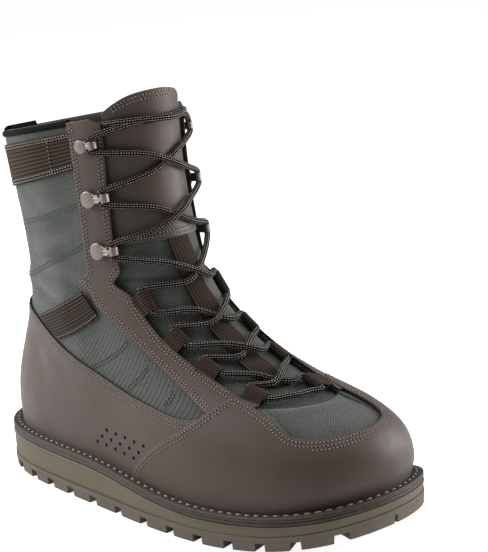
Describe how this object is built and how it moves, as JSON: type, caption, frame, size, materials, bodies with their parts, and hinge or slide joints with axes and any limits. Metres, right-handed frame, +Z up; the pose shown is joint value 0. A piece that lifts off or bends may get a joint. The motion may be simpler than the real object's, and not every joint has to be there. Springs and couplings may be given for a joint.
{
  "type": "wading boot",
  "caption": "Lace-up wading boot for the right foot: cloth upper with leather rand and vamp, padded collar, speed hooks, lugged rubber sole.",
  "frame": {"origin": "on the floor, on the tread face under the middle of the heel", "axes": "+Y from the heel to the toe, +X to the outer side of the right foot, +Z up"},
  "size_m": [0.1257, 0.324, 0.2646],
  "materials": {
    "cloth": "grey green woven cloth",
    "hook_metal": "satin pewter finish",
    "lace": "charcoal round cord with pale flecks",
    "leather": "warm grey oiled leather, soft sheen",
    "lining": "black padded lining and webbing",
    "midsole": "matt foam rubber, olive grey",
    "rubber_sole": "matt moulded rubber, warm grey",
    "webbing": "brown ribbed webbing",
    "welt": "dark brown layered strip with tan stitching"
  },
  "bodies": {
    "root": {"ankle_webbing_inner": "webbing", "ankle_webbing_outer": "webbing", "board": "welt", "collar_binding": "lining", "collar_webbing": "webbing", "eyestay_inner": "leather", "eyestay_outer": "leather", "hook_inner_1": "hook_metal", "hook_inner_2": "hook_metal", "hook_inner_3": "hook_metal", "hook_outer_1": "hook_metal", "hook_outer_2": "hook_metal", "hook_outer_3": "hook_metal", "insole": "lining", "lace_1": "lace", "lace_2": "lace", "lace_3": "lace", "lace_4": "lace", "lace_5": "lace", "lace_6": "lace", "lace_bar": "lace", "lace_loop_inner_1": "webbing", "lace_loop_inner_2": "webbing", "lace_loop_inner_3": "webbing", "lace_loop_inner_4": "webbing", "lace_loop_outer_1": "webbing", "lace_loop_outer_2": "webbing", "lace_loop_outer_3": "webbing", "lace_loop_outer_4": "webbing", "lace_top": "lace", "midsole": "midsole", "outsole": "rubber_sole", "pull_loop": "lining", "rand": "leather", "tongue": "leather", "tongue_strap": "webbing", "upper": "cloth", "vamp": "leather", "welt": "welt"}
  },
  "joints": []
}
